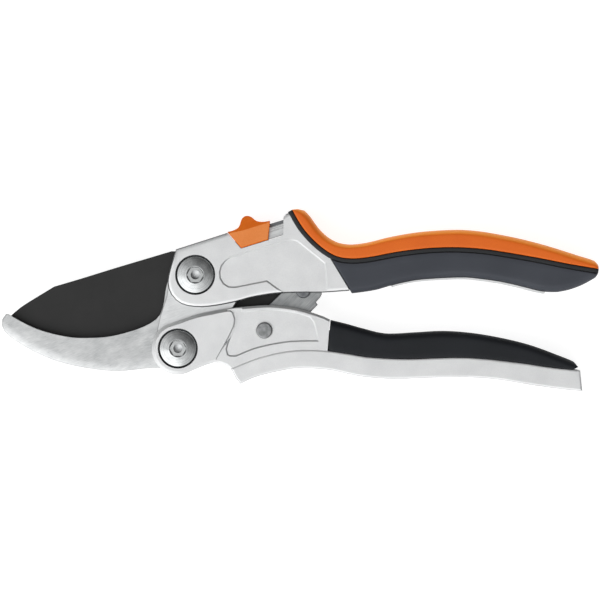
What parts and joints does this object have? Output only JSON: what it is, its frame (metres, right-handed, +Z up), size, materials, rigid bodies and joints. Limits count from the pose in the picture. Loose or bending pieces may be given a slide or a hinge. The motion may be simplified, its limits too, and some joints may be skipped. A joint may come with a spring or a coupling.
{
  "type": "bypass pruner",
  "caption": "Hand pruner with a coated bypass blade, a steel hook, two cast handles with soft grips, a driving link and a thumb lock.",
  "frame": {"origin": "on the main pivot's axis, at the end face of its bolt, in the plane that the tool lies on", "axes": "+X from the jaw to the grips, +Y from the lower handle to the upper one, +Z up out of the tool's front side"},
  "size_m": [0.2103, 0.0641, 0.0157],
  "materials": {
    "satin_aluminium": "satin cast",
    "brushed_steel": "brushed",
    "polished_steel": "turned and polished",
    "dark_steel": "blackened",
    "coated_steel": "matte non-stick coating",
    "spring_steel": "drawn",
    "bronze": "sintered",
    "orange_plastic": "fine matte",
    "slate_rubber": "fine matte",
    "navy_rubber": "fine matte",
    "black_rubber": "matte"
  },
  "bodies": {
    "upper_handle": {"upper_handle_casting": "satin_aluminium", "hook_jaw": "brushed_steel", "hook_dowel": "dark_steel", "upper_grip": "slate_rubber", "grip_seal_strip": "black_rubber", "orange_grip_cover": "orange_plastic", "main_pivot_bolt": "polished_steel", "main_pivot_nut": "dark_steel", "main_pivot_spacer": "spring_steel", "lock_rack": "brushed_steel"},
    "lower_handle": {"lower_handle_casting": "satin_aluminium", "lower_grip": "navy_rubber", "lower_pivot_bolt": "polished_steel", "lower_pivot_nut": "dark_steel", "lower_pivot_spacer": "spring_steel", "link_rivet": "dark_steel", "rivet_sleeve": "bronze", "return_spring": "spring_steel"},
    "blade": {"blade": "coated_steel", "blade_bush": "bronze"},
    "link": {"link_front_plate": "brushed_steel", "link_back_plate": "brushed_steel", "link_tail_pin": "dark_steel"},
    "lock": {"lock_button": "orange_plastic", "lock_tongue": "brushed_steel", "lock_pin": "dark_steel"}
  },
  "joints": [
    {"name": "lower_handle_hinge", "type": "hinge", "parent": "upper_handle", "child": "lower_handle", "pos_m": [-0.0061, -0.0259, 0.008], "axis": [0, 0, -1], "range_deg": [0, 34]},
    {"name": "blade_hinge", "type": "hinge", "parent": "upper_handle", "child": "blade", "pos_m": [0, 0, 0.0072], "axis": [0, 0, -1], "range_deg": [0, 23.5]},
    {"name": "link_hinge", "type": "hinge", "parent": "lower_handle", "child": "link", "pos_m": [0.0243, -0.0195, 0.0072], "axis": [0, 0, 1], "range_deg": [0, 49.5], "deforming": ["return_spring"]},
    {"name": "lock_slide", "type": "slide", "parent": "upper_handle", "child": "lock", "axis": [0.9553, 0.2957, 0], "range_m": [0, 0.0043]}
  ],
  "couplings": [
    {"joint": "blade_hinge", "follows": "lower_handle_hinge", "ratio": 0.69},
    {"joint": "link_hinge", "follows": "lower_handle_hinge", "ratio": 1.455}
  ]
}
